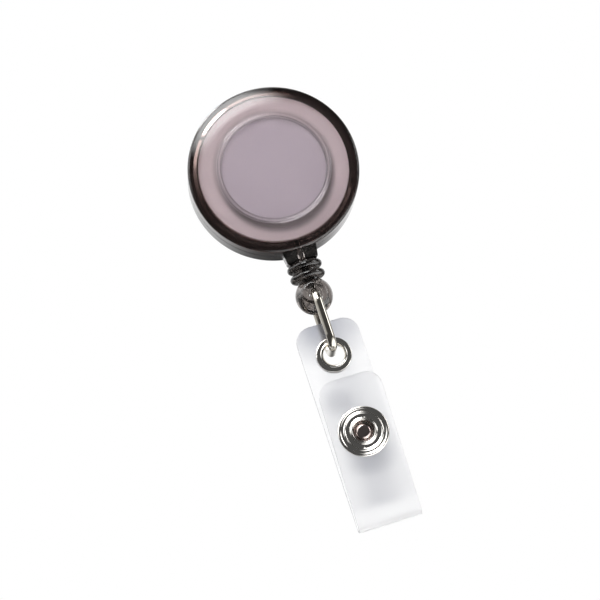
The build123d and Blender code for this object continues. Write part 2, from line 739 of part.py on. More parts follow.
# Clip lever: jaw, web and thumb tab bent from one strip, with ears outside the base's ears
with BuildPart() as clip_lever:
    jaw_y = base_y + FIT
    lever_half = CLIP_HALF_WIDTH + LEVER_CLEAR + CLIP_STEEL
    with BuildSketch(Plane.YZ):
        with BuildLine() as bend:
            FilletPolyline(
                (jaw_y, CLIP_JAW_Z),
                (jaw_y + JAW_LEAN, CLIP_JAW_Z + JAW_HEIGHT),
                (LEVER_Y, CLIP_JAW_Z + JAW_TO_WEB),
                (LEVER_Y, PIN_Z + WEB_TO_TAB),
                (THUMB_Y, THUMB_Z),
                radius=(CLIP_STEEL * 0.75, CLIP_STEEL * 1.75, CLIP_CORNER),
            )
            offset(amount=CLIP_STEEL, side=Side.RIGHT)
        make_face()
    extrude(amount=lever_half, both=True)
    short = clip_lever.edges().filter_by(lambda e: abs(e.length - CLIP_STEEL) < FIT)
    fillet(short.sort_by(Axis.Z)[-2:], CLIP_CORNER)
    add(ears(CLIP_HALF_WIDTH + LEVER_CLEAR, CLIP_STEEL, PIN_Y, LEVER_EAR_R))
    for side in (-1, 1):
        with BuildSketch(Plane.YZ.offset(side * (CLIP_HALF_WIDTH + LEVER_CLEAR))):
            with Locations((PIN_Y, PIN_Z)):
                Rectangle(
                    LEVER_Y - PIN_Y + CLIP_STEEL / 2,
                    2 * LEVER_EAR_R,
                    align=(Align.MIN, Align.CENTER),
                )
        extrude(amount=side * CLIP_STEEL)
    with BuildSketch(Plane.YZ):
        with Locations((PIN_Y, PIN_Z)):
            Circle(PIN_R + FIT)
    extrude(amount=2 * lever_half, both=True, mode=Mode.SUBTRACT)
    add(teeth(lever_half), mode=Mode.SUBTRACT)
save(clip_lever, "clip_lever")

# Pin through all four ears, headed at both ends
with BuildPart() as clip_pin:
    with BuildSketch(Plane.YZ):
        with Locations((PIN_Y, PIN_Z)):
            Circle(PIN_R)
    extrude(amount=lever_half + LEVER_CLEAR, both=True)
    for side in (-1, 1):
        with BuildSketch(Plane.YZ.offset(side * (lever_half + LEVER_CLEAR))):
            with Locations((PIN_Y, PIN_Z)):
                Circle(PIN_HEAD_R)
        extrude(amount=side * PIN_HEAD)
    fillet(clip_pin.edges().group_by(Axis.X)[0], PIN_HEAD * 0.6)
    fillet(clip_pin.edges().group_by(Axis.X)[-1], PIN_HEAD * 0.6)
save(clip_pin, "clip_pin")

# Leaf spring folded between the plate and the thumb tab
with BuildPart() as clip_spring:
    leaf_y = base_y + FIT
    leaf_far = LEVER_Y - LEVER_CLEAR
    leaf_low = PIN_Z + PIN_R + CLIP_SPRING_THICK + LEVER_CLEAR
    with BuildSketch(Plane.YZ):
        with BuildLine():
            FilletPolyline(
                (leaf_y, CLIP_TOP_Z - CLIP_STEEL),
                (leaf_y, leaf_low),
                (leaf_far, leaf_low),
                (leaf_far, PIN_Z + WEB_TO_TAB),
                (THUMB_Y - LEAF_TIP_BACK, CLIP_TOP_Z),
                radius=(LEAF_BEND_R, LEAF_BEND_R, CLIP_CORNER),
            )
            offset(amount=CLIP_SPRING_THICK, side=Side.LEFT)
        make_face()
    extrude(amount=LEAF_HALF_WIDTH, both=True)
save(clip_spring, "clip_spring")

# Rivet that joins the clip to the case and lets it swivel
with BuildPart() as swivel_rivet:
    with BuildSketch(turning):
        with BuildLine():
            seat_depth = REAR_FLOOR + FIT
            head_depth = seat_depth + RIVET_INNER_HEAD
            body = Polyline(
                (0, head_depth),
                (RIVET_HEAD_R - RIVET_INNER_HEAD / 3, head_depth),
                (RIVET_HEAD_R, head_depth - RIVET_INNER_HEAD / 3),
                (RIVET_HEAD_R, seat_depth),
                (RIVET_R, seat_depth),
                (RIVET_R, -base_y),
                (RIVET_CLIP_HEAD_R, -base_y),
            )
            TangentArc((0, -base_y - RIVET_HEAD), body @ 1, tangent=(1, 0))
            Line((0, -base_y - RIVET_HEAD), (0, head_depth))
        make_face()
    revolve(axis=Axis.Y)
save(swivel_rivet, "swivel_rivet")

# Washer between the clip and the case
with BuildPart() as swivel_washer:
    with BuildSketch(Plane.XZ.offset(-CLIP_GAP)):
        Circle(WASHER_R)
        Circle(RIVET_R + FIT, mode=Mode.SUBTRACT)
    extrude(amount=CLIP_GAP - FIT)
save(swivel_washer, "swivel_washer")
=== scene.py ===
import json
import math

import bmesh
import bpy
from mathutils import Matrix, Vector


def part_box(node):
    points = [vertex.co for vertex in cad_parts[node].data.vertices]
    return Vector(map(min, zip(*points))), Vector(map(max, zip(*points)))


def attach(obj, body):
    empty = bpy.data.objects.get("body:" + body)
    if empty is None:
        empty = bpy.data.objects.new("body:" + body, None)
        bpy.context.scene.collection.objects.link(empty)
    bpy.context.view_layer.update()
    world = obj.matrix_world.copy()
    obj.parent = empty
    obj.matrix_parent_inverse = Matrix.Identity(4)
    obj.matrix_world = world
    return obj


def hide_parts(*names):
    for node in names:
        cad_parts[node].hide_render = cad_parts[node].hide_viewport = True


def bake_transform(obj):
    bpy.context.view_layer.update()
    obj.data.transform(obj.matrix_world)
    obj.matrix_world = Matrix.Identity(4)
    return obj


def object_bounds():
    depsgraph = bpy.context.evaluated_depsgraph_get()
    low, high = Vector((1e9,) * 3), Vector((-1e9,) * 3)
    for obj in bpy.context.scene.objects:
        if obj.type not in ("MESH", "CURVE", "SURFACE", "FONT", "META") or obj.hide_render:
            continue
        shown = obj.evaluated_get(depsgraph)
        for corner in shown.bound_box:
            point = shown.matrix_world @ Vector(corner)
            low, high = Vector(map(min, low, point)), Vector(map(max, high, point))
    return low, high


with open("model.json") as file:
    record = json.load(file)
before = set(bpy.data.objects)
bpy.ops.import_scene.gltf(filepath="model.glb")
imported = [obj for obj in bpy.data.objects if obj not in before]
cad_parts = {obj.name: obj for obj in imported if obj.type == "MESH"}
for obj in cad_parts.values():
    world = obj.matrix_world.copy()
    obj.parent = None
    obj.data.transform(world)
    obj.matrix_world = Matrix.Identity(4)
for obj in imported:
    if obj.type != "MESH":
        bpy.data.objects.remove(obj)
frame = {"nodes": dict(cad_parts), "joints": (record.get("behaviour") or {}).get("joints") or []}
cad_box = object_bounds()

# Retractable badge reel, in metres: +Z up, the front face looks along -Y, the cord pulls along -Z.
MM = 0.001
nodes = frame["nodes"]
joints = {joint["name"]: joint for joint in frame["joints"]}

# ---------------------------------------------------------------- places, read from the frame

case_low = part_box("front_shell")[0]
back_low, back_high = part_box("strap_back")
flap_low, flap_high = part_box("strap_flap")
eyelet_low, eyelet_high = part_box("eyelet")
socket_low, socket_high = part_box("snap_socket")
stud_low, stud_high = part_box("snap_stud")
post_low, post_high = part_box("snap_post")
winding_low, winding_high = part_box("cord_winding")
knot_low, knot_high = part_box("cord_knot")
leaf_low, leaf_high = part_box("clip_spring")
ball_mid = Vector(joints["bead_spin"]["pos_m"])
pin_mid = Vector(joints["jaw_open"]["pos_m"])
cord_y = ball_mid.y
case_centre = Vector((0, case_low.y, 0))
eyelet_mid = (eyelet_low + eyelet_high) / 2
socket_mid = (socket_low + socket_high) / 2
knot_mid = (knot_low + knot_high) / 2


# ---------------------------------------------------------------- node helpers


class Shader:
    """A new node material, with short calls for the nodes that it needs."""

    def __init__(self, name):
        self.material = bpy.data.materials.new(name)
        self.material.use_nodes = True
        self.tree = self.material.node_tree
        self.base = self.tree.nodes["Principled BSDF"]
        self.place = self.tree.nodes.new("ShaderNodeTexCoord").outputs["Object"]

    def node(self, kind, **settings):
        made = self.tree.nodes.new("ShaderNode" + kind)
        for key, value in settings.items():
            setattr(made, key, value)
        return made

    def link(self, source, target):
        self.tree.links.new(source, target)

    def feed(self, name, source):
        """Links source to that input of the shader."""
        self.link(source, self.base.inputs[name])

    def set(self, **values):
        """Sets inputs of the shader that are the same everywhere."""
        for key, value in values.items():
            self.base.inputs[key.replace("_", " ")].default_value = value

    def noise(self, scale, detail=3.0, rough=0.5, stretch=None):
        made = self.node("TexNoise")
        made.inputs["Scale"].default_value = scale
        made.inputs["Detail"].default_value = detail
        made.inputs["Roughness"].default_value = rough
        place = self.place
        if stretch:
            mapping = self.node("Mapping")
            mapping.inputs["Scale"].default_value = stretch
            self.link(place, mapping.inputs["Vector"])
            place = mapping.outputs["Vector"]
        self.link(place, made.inputs["Vector"])
        return made.outputs["Fac"]

    def spread(self, source, low, high, start=0.3, end=0.7):
        """A number from low to high as source goes from start to end."""
        made = self.node("MapRange", interpolation_type="SMOOTHSTEP")
        for key, value in (
            ("From Min", start),
            ("From Max", end),
            ("To Min", low),
            ("To Max", high),
        ):
            made.inputs[key].default_value = value
        self.link(source, made.inputs["Value"])
        return made.outputs["Result"]

    def combine(self, operation, first, second):
        """What that operation makes of two sockets or numbers."""
        made = self.node("Math", operation=operation)
        for socket, value in zip(made.inputs, (first, second)):
            if isinstance(value, float):
                socket.default_value = value
            else:
                self.link(value, socket)
        return made.outputs[0]

    def colours(self, source, low, high):
        """A colour from low to high as source goes from 0 to 1. Either may be a socket."""
        made = self.node("Mix", data_type="RGBA")
        self.link(source, made.inputs[0])
        for socket, value in ((made.inputs[6], low), (made.inputs[7], high)):
            if isinstance(value, tuple):
                socket.default_value = (*value, 1)
            else:
                self.link(value, socket)
        return made.outputs[2]

    def curve(self, radius, points):
        """A grey that follows the (radius in mm, grey) points."""
        first, last = points[0][0], points[-1][0]
        place = self.node("MapRange")
        place.inputs["From Min"].default_value = first * MM
        place.inputs["From Max"].default_value = last * MM
        self.link(radius, place.inputs["Value"])
        ramp = self.node("ValToRGB")
        stops = ramp.color_ramp.elements
        stops[0].position, stops[1].position = 0.0, 1.0
        for at, _ in points[1:-1]:
            stops.new((at - first) / (last - first))
        for stop, (at, grey) in zip(stops, points):
            stop.color = (grey, grey, grey, 1)
        self.link(place.outputs["Result"], ramp.inputs["Fac"])
        return ramp.outputs["Color"]

    def along(self, axis):
        """The place along X, Y or Z, in metres."""
        split = self.node("SeparateXYZ")
        self.link(self.place, split.inputs[0])
        return split.outputs[axis]

    def bump(self, height, strength, distance):
        made = self.node("Bump")
        made.inputs["Strength"].default_value = strength
        made.inputs["Distance"].default_value = distance
        self.link(height, made.inputs["Height"])
        self.feed("Normal", made.outputs["Normal"])

    def off_axis(self, centre):
        """The distance from the line along Y through centre, in metres."""
        away = self.node("VectorMath", operation="SUBTRACT")
        away.inputs[1].default_value = centre
        self.link(self.place, away.inputs[0])
        flat = self.node("VectorMath", operation="MULTIPLY")
        flat.inputs[1].default_value = (1, 0, 1)
        self.link(away.outputs[0], flat.inputs[0])
        length = self.node("VectorMath", operation="LENGTH")
        self.link(flat.outputs[0], length.inputs[0])
        return length.outputs["Value"]


# ---------------------------------------------------------------- materials

# Radii between which the label window ends, the raised ring ends, and the white disc ends.
LABEL_EDGE = (9.8 * MM, 10.5 * MM)
RING_EDGE = (10.25 * MM, 10.5 * MM)
DISC_EDGE = (13.9 * MM, 14.15 * MM)
# The shade of the raised ring on the disc: a circle set below the ring, seen outside the ring only.
SHADE_EDGE = (9.85 * MM, 11.25 * MM)
SHADE_MID = (0.1 * MM, 0, -1.6 * MM)
SHADE_DEPTH = 0.46
# Heights between which the nose block passes into the case, and the bead's ball into its neck.
NOSE_TOP = (-16.3 * MM, -15.6 * MM)
BALL_TOP = (ball_mid.z + 2.4 * MM, ball_mid.z + 3.6 * MM)
NOSE_TINT = (0.62, 0.57, 0.54)
# How clear the face is at each radius in mm. The moulding is thicker at the raised ring, and the ramp
# also paints shade there: painted dark lines at the ring's walls, for the dark refraction at them, and a
# soft painted shade just outside the ring.
RING_PAINTED_SHADE = (
    (9.5, 1.0),
    (9.74, 0.9),
    (9.86, 0.42),
    (9.97, 0.45),
    (10.12, 1.0),
    (10.3, 1.0),
    (10.44, 0.6),
    (10.6, 0.74),
    (11.6, 1.0),
)


def nose_colours(s, tint):
    """That tint, and a lighter one on the nose block, where the moulding is thin."""
    return s.colours(s.spread(s.along("Z"), 1.0, 0.0, *NOSE_TOP), tint, NOSE_TINT)


def smoke_case():
    """Clear smoke moulding: a cool label window, a warmer dome, a dark rim and a lighter nose, with
    painted shade at the raised ring and a painted shadow of the ring on the disc.
    """
    s = Shader("smoke_case")
    s.set(IOR=1.49, Transmission_Weight=0.97)
    radius = s.off_axis((0, 0, 0))
    label = s.spread(radius, 0.0, 1.0, *LABEL_EDGE)
    rim = s.spread(radius, 0.0, 1.0, *DISC_EDGE)
    clouds = s.noise(70.0, 2.0)
    window = s.colours(clouds, (0.89, 0.825, 0.88), (0.91, 0.84, 0.89))
    dome = s.colours(clouds, (0.97, 0.875, 0.895), (0.98, 0.885, 0.905))
    face = s.node("VectorMath", operation="SCALE")
    s.link(s.colours(label, window, dome), face.inputs[0])
    outside = s.spread(radius, 0.0, 1.0, *RING_EDGE)
    below = s.spread(s.off_axis(SHADE_MID), SHADE_DEPTH, 0.0, *SHADE_EDGE)
    shade = s.combine("SUBTRACT", 1.0, s.combine("MULTIPLY", outside, below))
    # Painted shade at the raised ring and the ring's painted shadow darken the face's tint.
    s.link(s.combine("MULTIPLY", shade, s.curve(radius, RING_PAINTED_SHADE)), face.inputs["Scale"])
    tint = s.colours(rim, face.outputs[0], nose_colours(s, (0.19, 0.135, 0.125)))
    s.feed("Base Color", tint)
    s.feed("Roughness", s.spread(s.noise(900.0), 0.02, 0.06))
    s.bump(s.noise(240.0, 2.0), 0.03, 0.2 * MM)
    return s.material


def smoke_solid(name, bead):
    """The same smoke moulding, for the parts that have nothing white behind them."""
    s = Shader(name)
    s.set(IOR=1.49, Transmission_Weight=0.93)
    if bead:
        ball = s.spread(s.along("Z"), 1.0, 0.0, *BALL_TOP)
        tint = s.colours(ball, (0.045, 0.040, 0.036), (0.18, 0.16, 0.15))
    else:
        tint = nose_colours(s, (0.055, 0.044, 0.044))
    s.feed("Base Color", tint)
    s.feed("Roughness", s.spread(s.noise(900.0), 0.02, 0.06))
    s.bump(s.noise(420.0, 3.0), 0.06, 0.2 * MM)
    return s.material


def white_plastic():
    """Satin white moulding of the spool."""
    s = Shader("spool_white")
    s.set(IOR=1.46, Specular_IOR_Level=0.4)
    s.feed("Base Color", s.colours(s.noise(400.0), (0.84, 0.83, 0.83), (0.87, 0.86, 0.86)))
    s.feed("Roughness", s.spread(s.noise(1500.0), 0.38, 0.5))
    s.bump(s.noise(2600.0), 0.08, 0.1 * MM)
    return s.material


def plated(name, low, high, rough, scratch):
    """Bright plated metal with fine handling scratches and a little variation in its shine."""
    s = Shader(name)
    s.set(Metallic=1.0)
    s.feed("Base Color", s.colours(s.noise(350.0), low, high))
    s.feed("Roughness", s.spread(s.noise(1100.0, 5.0), rough * 0.7, rough * 1.3))
    s.bump(s.noise(900.0, 4.0, 0.6, stretch=(1.0, 1.0, 6.0)), scratch, 0.1 * MM)
    return s.material


def spring_steel():
    """Blued spring strip with fine streaks."""
    s = Shader("spring_steel")
    s.set(Metallic=1.0)
    s.feed("Base Color", s.colours(s.noise(500.0), (0.30, 0.31, 0.34), (0.46, 0.46, 0.48)))
    s.feed("Roughness", s.spread(s.noise(1200.0), 0.3, 0.44))
    s.bump(s.noise(1500.0, stretch=(1.0, 8.0, 1.0)), 0.1, 0.1 * MM)
    return s.material


def nylon():
    """Fine black braid: two sets of bands that cross."""
    s = Shader("nylon_cord")
    s.set(Roughness=0.6, Sheen_Weight=0.3, Sheen_Roughness=0.4)
    bands = []
    for turn in (0.9, -0.9):
        mapping = s.node("Mapping")
        mapping.inputs["Rotation"].default_value = (turn, turn, 0)
        s.link(s.place, mapping.inputs["Vector"])
        wave = s.node("TexWave", wave_type="BANDS", bands_direction="Z")
        wave.inputs["Scale"].default_value = 620.0
        s.link(mapping.outputs["Vector"], wave.inputs["Vector"])
        bands.append(wave.outputs["Fac"])
    braid = s.combine("MAXIMUM", *bands)
    s.feed("Base Color", s.colours(braid, (0.008, 0.008, 0.009), (0.06, 0.06, 0.066)))
    s.bump(braid, 0.5, 0.1 * MM)
    return s.material


def vinyl_edge():
    """The cut edge of the same sheet, where light runs a long way through it."""
    s = Shader("vinyl_edge")
    s.set(IOR=1.45, Transmission_Weight=0.9)
    s.feed("Base Color", s.colours(s.noise(200.0), (0.24, 0.245, 0.26), (0.36, 0.365, 0.38)))
    s.feed("Roughness", s.spread(s.noise(500.0), 0.3, 0.4))
    return s.material


# Painted shade on the strap: how dark it is along the middle and at the sides, the distances from the
# middle over which it thins, and the heights above the fold over which it ends.
STRAP_SHADE_MIDDLE = 0.25
STRAP_SHADE_SIDES = 0.09
STRAP_SHADE_HALF = (0.5 * MM, 5.0 * MM)
STRAP_SHADE_LOW = (back_low.z + 1.2 * MM, back_low.z + 3.2 * MM)
# Spots of stronger painted shade on the strap, near the eyelet and round the snap, in mm: x, z, the
# radius of the full shade, of its end, and how dense.
STRAP_SHADE_SPOTS = (
    (0.0, -30.5, 0.5, 11.0, 1.0),
    (-1.6, -45.4, 0.5, 5.5, 0.42),
    (0.3, -57.0, 0.5, 7.0, 0.5),
)


def vinyl():
    """Clear flexible sheet, frosted by its roughness, with a grey painted shade that is denser along its
    middle and at a few spots.
    """
    s = Shader("clear_vinyl")
    s.set(IOR=1.38, Transmission_Weight=0.94)
    side = s.combine("ABSOLUTE", s.along("X"), 0.0)
    painted_shade = s.spread(side, STRAP_SHADE_MIDDLE, STRAP_SHADE_SIDES, *STRAP_SHADE_HALF)
    for x, z, inner, outer, strength in STRAP_SHADE_SPOTS:
        centre = Vector((x * MM, 0, z * MM))
        spot = s.spread(s.off_axis(centre), strength, 0.0, inner * MM, outer * MM)
        painted_shade = s.combine("MAXIMUM", painted_shade, spot)
    clouds = s.spread(s.noise(110.0, 2.0), 0.76, 1.0)
    above = s.spread(s.along("Z"), 0.0, 1.0, *STRAP_SHADE_LOW)
    painted_shade = s.combine("MULTIPLY", s.combine("MULTIPLY", painted_shade, clouds), above)
    # The grey is painted shade; where there is none the sheet is near clear.
    s.feed("Base Color", s.colours(painted_shade, (0.99, 0.991, 0.995), (0.375, 0.385, 0.435)))
    s.feed("Roughness", s.spread(s.noise(300.0), 0.3, 0.36))
    s.bump(s.noise(700.0, 2.0), 0.04, 0.1 * MM)
    return s.material


SMOKE = smoke_case()
SMOKE_REAR = smoke_solid("smoke_rear", bead=False)
SMOKE_BEAD = smoke_solid("smoke_bead", bead=True)
WHITE = white_plastic()
NICKEL = plated("bright_nickel", (0.80, 0.77, 0.73), (0.88, 0.86, 0.82), 0.1, 0.03)
# The link's nickel is a darker copy of the bright nickel: painted shade on the link wire.
SHADED_LINK_NICKEL = plated("link_nickel", (0.50, 0.47, 0.41), (0.60, 0.57, 0.51), 0.09, 0.03)
STUD_NICKEL = plated("stud_nickel", (0.48, 0.40, 0.385), (0.56, 0.47, 0.45), 0.12, 0.03)
CLIP_NICKEL = plated("clip_nickel", (0.72, 0.70, 0.67), (0.80, 0.78, 0.75), 0.2, 0.025)
SPRING = spring_steel()
NYLON = nylon()
VINYL = vinyl()
VINYL_EDGE = vinyl_edge()

finishes = {
    SMOKE: ["front_shell"],
    SMOKE_REAR: ["rear_shell"],
    SMOKE_BEAD: ["cord_end_bead"],
    WHITE: ["spool"],
    SPRING: ["power_spring", "clip_spring"],
    NYLON: ["cord_winding", "cord_lead", "cord_knot"],
    VINYL: ["strap_back", "strap_fold", "strap_flap"],
    SHADED_LINK_NICKEL: ["link_wire"],
    NICKEL: [
        "eyelet",
        "eyelet_washer",
        "snap_socket",
        "snap_socket_back",
        "snap_spring",
        "snap_stud",
        "snap_post",
    ],
    CLIP_NICKEL: ["clip_base", "clip_lever", "clip_pin", "swivel_rivet", "swivel_washer"],
}
for material, names in finishes.items():
    for name in names:
        nodes[name].data.materials.clear()
        nodes[name].data.materials.append(material)

# ---------------------------------------------------------------- mesh helpers


def placed(name, data):
    """A new object in the scene, at the origin."""
    obj = bpy.data.objects.new(name, data)
    bpy.context.scene.collection.objects.link(obj)
    return obj


def piece(name, mesh, material=None):
    """A new smooth piece of the model, with that material unless its mesh has its own."""
    obj = placed(name, mesh)
    if material:
        mesh.materials.append(material)
    mesh.shade_smooth()
    return obj


def skin(name, rings, closed):
    """A mesh over rings of points, all with as many points; ends are capped unless closed."""
    count = len(rings[0])
    points = [p for ring in rings for p in ring]
    faces = []
    for k in range(len(rings) if closed else len(rings) - 1):
        here, there = k * count, (k + 1) % len(rings) * count
        for j in range(count):
            n = (j + 1) % count
            faces.append((here + j, here + n, there + n, there + j))
    if not closed:
        faces.append(tuple(reversed(range(count))))
        faces.append(tuple(range(len(points) - count, len(points))))
    mesh = bpy.data.meshes.new(name)
    mesh.from_pydata(points, [], faces)
    made = bmesh.new()
    made.from_mesh(mesh)
    bmesh.ops.recalc_face_normals(made, faces=made.faces)
    made.to_mesh(mesh)
    made.free()
    return mesh


def tube(name, line, radius, sides, closed=False):
    """A round tube along a line of points, without twist."""
    count = len(line)
    ways = []
    for k in range(count):
        before = line[k - 1] if closed or k else line[0]
        after = line[(k + 1) % count] if closed or k < count - 1 else line[-1]
        ways.append((after - before).normalized())
    side = ways[0].orthogonal().normalized()
    rings = []
    for point, way in zip(line, ways):
        side = (side - way * side.dot(way)).normalized()
        up = way.cross(side)
        turns = [math.tau * j / sides for j in range(sides)]
        rings.append([point + (side * math.cos(t) + up * math.sin(t)) * radius for t in turns])
    return skin(name, rings, closed)


# ---------------------------------------------------------------- cord

# The cord is drawn a little thinner than it is, so that it stays clear of what it passes.
CORD_R = 0.45 * MM
LEAD_R = CORD_R * 0.98
WINDING_R = CORD_R * 0.96
KNOT_R = CORD_R * 0.8
# Its last wrap on the spool, and the bend from there into the nose.
WRAP_R = 11.15 * MM
WRAP_ANGLE = math.radians(120)
BEND_Z = -14.0 * MM
BEND_R = 2.7 * MM
WRAP_STEPS = 40
BEND_STEPS = 8
DROP_STEPS = 30
# The winding: its layers, and the share of each in which the cord climbs to the next.
DRUM_R = 7.5 * MM
LAYERS = 4
TURNS_PER_LAYER = 3.5
CLIMB = 0.08
STEPS_PER_TURN = 36
# The knot is a trefoil curve: its points, its width before scaling, and how deep it weaves.
KNOT_STEPS = 72
KNOT_WIDTH = 7.2
KNOT_WEAVE = 1.1
# Its tail goes this far sideways and down at each step, in twelfths of the knot's size.
TAIL_STEPS = 8
TAIL_ASIDE = 0.12
TAIL_DOWN = -1.4


def on_case(radius, angle):
    """A point in the cord's plane, at that radius and angle from +X."""
    return Vector((radius * math.cos(angle), cord_y, radius * math.sin(angle)))


def cord_lead():
    """Cord from its last wrap round the spool, out of the nose and down to the knot."""
    leave = math.acos(WRAP_R / -BEND_Z) - math.pi / 2
    line = []
    for k in range(WRAP_STEPS + 1):
        line.append(on_case(WRAP_R, leave + WRAP_ANGLE * (1 - k / WRAP_STEPS)))
    swing = math.pi / 2 + leave
    centre = Vector((BEND_R, cord_y, BEND_Z - BEND_R * math.tan(swing / 2)))
    for k in range(BEND_STEPS + 1):
        angle = math.pi - swing * (1 - k / BEND_STEPS)
        line.append(centre + Vector((math.cos(angle), 0, math.sin(angle))) * BEND_R)
    top, low = centre.z, knot_mid.z
    for k in range(1, DROP_STEPS + 1):
        line.append(Vector((0, cord_y, top + (low - top) * k / DROP_STEPS)))
    obj = piece("cord_line", tube("cord_line", line, LEAD_R, 12), NYLON)
    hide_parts("cord_lead")
    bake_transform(obj)


def cord_winding():
    """The cord's turns on the drum, in layers that go to and fro."""
    room = winding_high.y - winding_low.y - 2 * CORD_R
    step = (winding_high.x - DRUM_R - 2 * CORD_R) / (LAYERS - 1)
    count = int(LAYERS * TURNS_PER_LAYER * STEPS_PER_TURN)
    line = []
    for k in range(count + 1):
        turn = k / STEPS_PER_TURN
        layer = min(int(turn / TURNS_PER_LAYER), LAYERS - 1)
        along = turn / TURNS_PER_LAYER - layer
        rise = max(0.0, (along - (1 - CLIMB)) / CLIMB) if layer < LAYERS - 1 else 0.0
        radius = DRUM_R + CORD_R + step * (layer + rise)
        across = along if layer % 2 == 0 else 1 - along
        y = winding_low.y + CORD_R + room * across
        angle = math.tau * turn
        line.append(Vector((radius * math.cos(angle), y, radius * math.sin(angle))))
    obj = piece("cord_turns", tube("cord_turns", line, WINDING_R, 8), NYLON)
    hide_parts("cord_winding")
    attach(obj, "spool")


def cord_knot():
    """Overhand knot pulled tight in the bead, with its short tail."""
    size = knot_high.x - knot_low.x
    scale = size / KNOT_WIDTH
    line = []
    for k in range(KNOT_STEPS):
        t = math.tau * k / KNOT_STEPS
        x = math.sin(t) + 2 * math.sin(2 * t)
        z = math.cos(t) - 2 * math.cos(2 * t)
        line.append(knot_mid + Vector((x, -KNOT_WEAVE * math.sin(3 * t), z)) * scale)
    loop = tube("knot_loop", line, KNOT_R, 10, closed=True)
    tail = []
    for k in range(1, TAIL_STEPS + 1):
        tail.append(knot_mid + Vector((TAIL_ASIDE * k, 0, TAIL_DOWN * k)) * size / 12)
    made = bmesh.new()
    made.from_mesh(loop)
    made.from_mesh(tube("knot_tail", tail, KNOT_R, 10))
    made.to_mesh(loop)
    made.free()
    obj = piece("cord_end_knot", loop, NYLON)
    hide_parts("cord_knot")
    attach(obj, "cord_tip")


# ---------------------------------------------------------------- vinyl strap

STRAP_CORNER = 3.0 * MM
STRAP_EDGE = 0.1 * MM
FOLD_STEPS = 28
FOLD_MARGIN = 0.4 * MM
SIDE_INSET = 0.35 * MM
HOLE_MARGIN = 0.6 * MM
# The layers bow apart by this much, and reach it this far from the fold, the snap and the eyelet.
CROWN = 0.25 * MM
CROWN_FOLD = 8 * MM
CROWN_SNAP = 11 * MM
CROWN_EYELET = 7 * MM
EYELET_HOLE = 2.33 * MM
BARREL_HOLE = 2.45 * MM
POST_HOLE = 0.85 * MM


def holed_grid(columns, rows, holes):
    """A flat grid of faces over those places, with a round hole at each (x, y, radius)."""
    made = bmesh.new()
    grid = [[made.verts.new((x, y, 0)) for x in columns] for y in rows]
    cleared = set()
    for x, y, radius in holes:
        reach = radius + HOLE_MARGIN
        i0 = max(i for i, row in enumerate(rows) if row <= y - reach)
        i1 = min(i for i, row in enumerate(rows) if row >= y + reach)
        j0 = max(j for j, column in enumerate(columns) if column <= x - reach)
        j1 = min(j for j, column in enumerate(columns) if column >= x + reach)
        border = [(i0, j) for j in range(j0, j1)] + [(i, j1) for i in range(i0, i1)]
        border += [(i1, j) for j in range(j1, j0, -1)] + [(i, j0) for i in range(i1, i0, -1)]
        outer = [grid[i][j] for i, j in border]
        for share in (0.5, 1.0):
            inner = []
            for i, j in border:
                angle = math.atan2(rows[i] - y, columns[j] - x)
                rim = Vector((x + radius * math.cos(angle), y + radius * math.sin(angle), 0))
                inner.append(made.verts.new(grid[i][j].co.lerp(rim, share)))
            for k in range(len(border)):
                made.faces.new((outer[k - 1], outer[k], inner[k], inner[k - 1]))
            outer = inner
        cleared.update((i, j) for i in range(i0, i1) for j in range(j0, j1))
    for i in range(len(rows) - 1):
        for j in range(len(columns) - 1):
            if (i, j) not in cleared:
                made.faces.new((grid[i][j], grid[i][j + 1], grid[i + 1][j + 1], grid[i + 1][j]))
    bmesh.ops.delete(made, geom=[v for v in made.verts if not v.link_faces], context="VERTS")
    bmesh.ops.recalc_face_normals(made, faces=made.faces)
    return made


def thickened(name, made, thick, edge, *materials):
    """The sheet given its thickness and rounded edges, as a finished mesh. The last material is
    for its rim."""
    mesh = bpy.data.meshes.new(name)
    made.to_mesh(mesh)
    made.free()
    obj = placed(name, mesh)
    for material in materials:
        mesh.materials.append(material)
    solid = obj.modifiers.new("solid", "SOLIDIFY")
    solid.thickness = thick
    solid.offset = 0
    solid.material_offset_rim = len(materials) - 1
    round_edge = obj.modifiers.new("edge", "BEVEL")
    round_edge.width = edge
    round_edge.segments = 2
    round_edge.limit_method = "ANGLE"
    round_edge.angle_limit = math.radians(60)
    bpy.context.view_layer.update()
    ready = bpy.data.meshes.new_from_object(obj.evaluated_get(bpy.context.evaluated_depsgraph_get()))
    bpy.data.objects.remove(obj)
    bpy.data.meshes.remove(mesh)
    return ready


def strap_rows(down, turn, length):
    """Rows of the flat strip from its top end: closer at its corners and round the fold."""
    corner = [STRAP_CORNER * (1 - math.cos(math.radians(15 * k))) for k in range(7)]
    rows = corner + [length - d for d in corner]
    rows += [down + (turn - down) * k / FOLD_STEPS for k in range(FOLD_STEPS + 1)]
    steps = [k * MM for k in range(4, int(length / MM) - 3)]
    rows += [s for s in steps if not down - FOLD_MARGIN < s < turn + FOLD_MARGIN]
    return sorted(rows)


